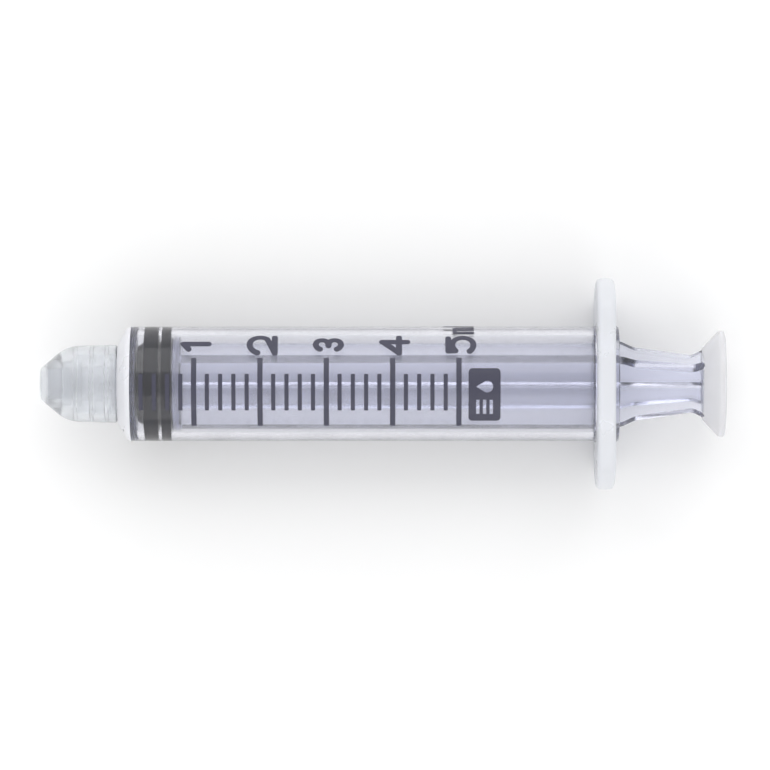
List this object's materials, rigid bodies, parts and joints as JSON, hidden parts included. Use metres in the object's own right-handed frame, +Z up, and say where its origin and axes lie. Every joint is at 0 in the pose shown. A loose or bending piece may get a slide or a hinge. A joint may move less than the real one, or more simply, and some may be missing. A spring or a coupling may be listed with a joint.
{
  "type": "oral syringe",
  "caption": "Clear oral syringe with a winged finger flange, ribbed plunger rod, black rubber stopper, push-on tip cap and printed millilitre scale.",
  "frame": {"origin": "on the surface that the syringe lies on, below the bore axis, at the middle of the length from cap to thumb press", "axes": "+X along the bore axis from the nozzle to the thumb press, +Y along the flange's wings, +Z up through the printed scale"},
  "size_m": [0.086, 0.0266, 0.0166],
  "materials": {
    "barrel_plastic": "clear moulded polypropylene, slightly hazy, faint lavender tint",
    "rod_plastic": "clear moulded polypropylene",
    "stopper_rubber": "smooth black rubber, lightly siliconed",
    "cap_plastic": "clear moulded plastic, slightly frosted",
    "ink": "dark blue-black printing ink"
  },
  "bodies": {
    "barrel": {"barrel": "barrel_plastic", "printed_long_lines": "ink", "printed_short_lines": "ink", "printed_numerals": "ink", "printed_unit_letters": "ink", "printed_badge": "ink"},
    "stopper": {"stopper": "stopper_rubber"},
    "plunger_rod": {"plunger_rod": "rod_plastic"},
    "tip_cap": {"tip_cap": "cap_plastic"}
  },
  "joints": [
    {"name": "stopper_slide", "type": "slide", "parent": "barrel", "child": "stopper", "axis": [1, 0, 0], "range_m": [0, 0.0535]},
    {"name": "rod_spin", "type": "hinge", "parent": "stopper", "child": "plunger_rod", "pos_m": [-0.02805, 0, 0.0083], "axis": [1, 0, 0], "continuous": true},
    {"name": "cap_pull", "type": "slide", "parent": "barrel", "child": "tip_cap", "axis": [-1, 0, 0], "range_m": [0, 0.014]}
  ]
}
